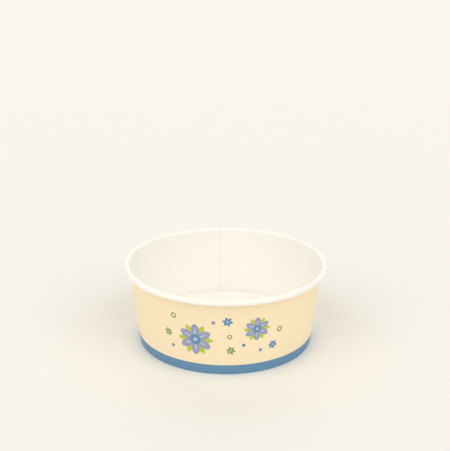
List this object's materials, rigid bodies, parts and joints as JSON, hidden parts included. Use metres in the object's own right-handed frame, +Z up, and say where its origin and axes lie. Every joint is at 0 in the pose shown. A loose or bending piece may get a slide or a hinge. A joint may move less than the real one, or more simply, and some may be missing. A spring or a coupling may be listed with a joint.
{
  "type": "paper food cup",
  "caption": "Squat round paper food cup with a tapered printed wall, a rolled rim, a lapped seam up the back and a recessed base held in a folded foot.",
  "frame": {"origin": "centre of the foot, on the table", "axes": "+Z up along the cup's axis, -Y towards the printed front, +Y towards the side seam"},
  "size_m": [0.15, 0.15, 0.06],
  "materials": {
    "side_wall": "coated cream board, white inside, satin",
    "base_disc": "coated white board, satin"
  },
  "bodies": {
    "root": {"side_wall": "side_wall", "base_disc": "base_disc"}
  },
  "joints": []
}
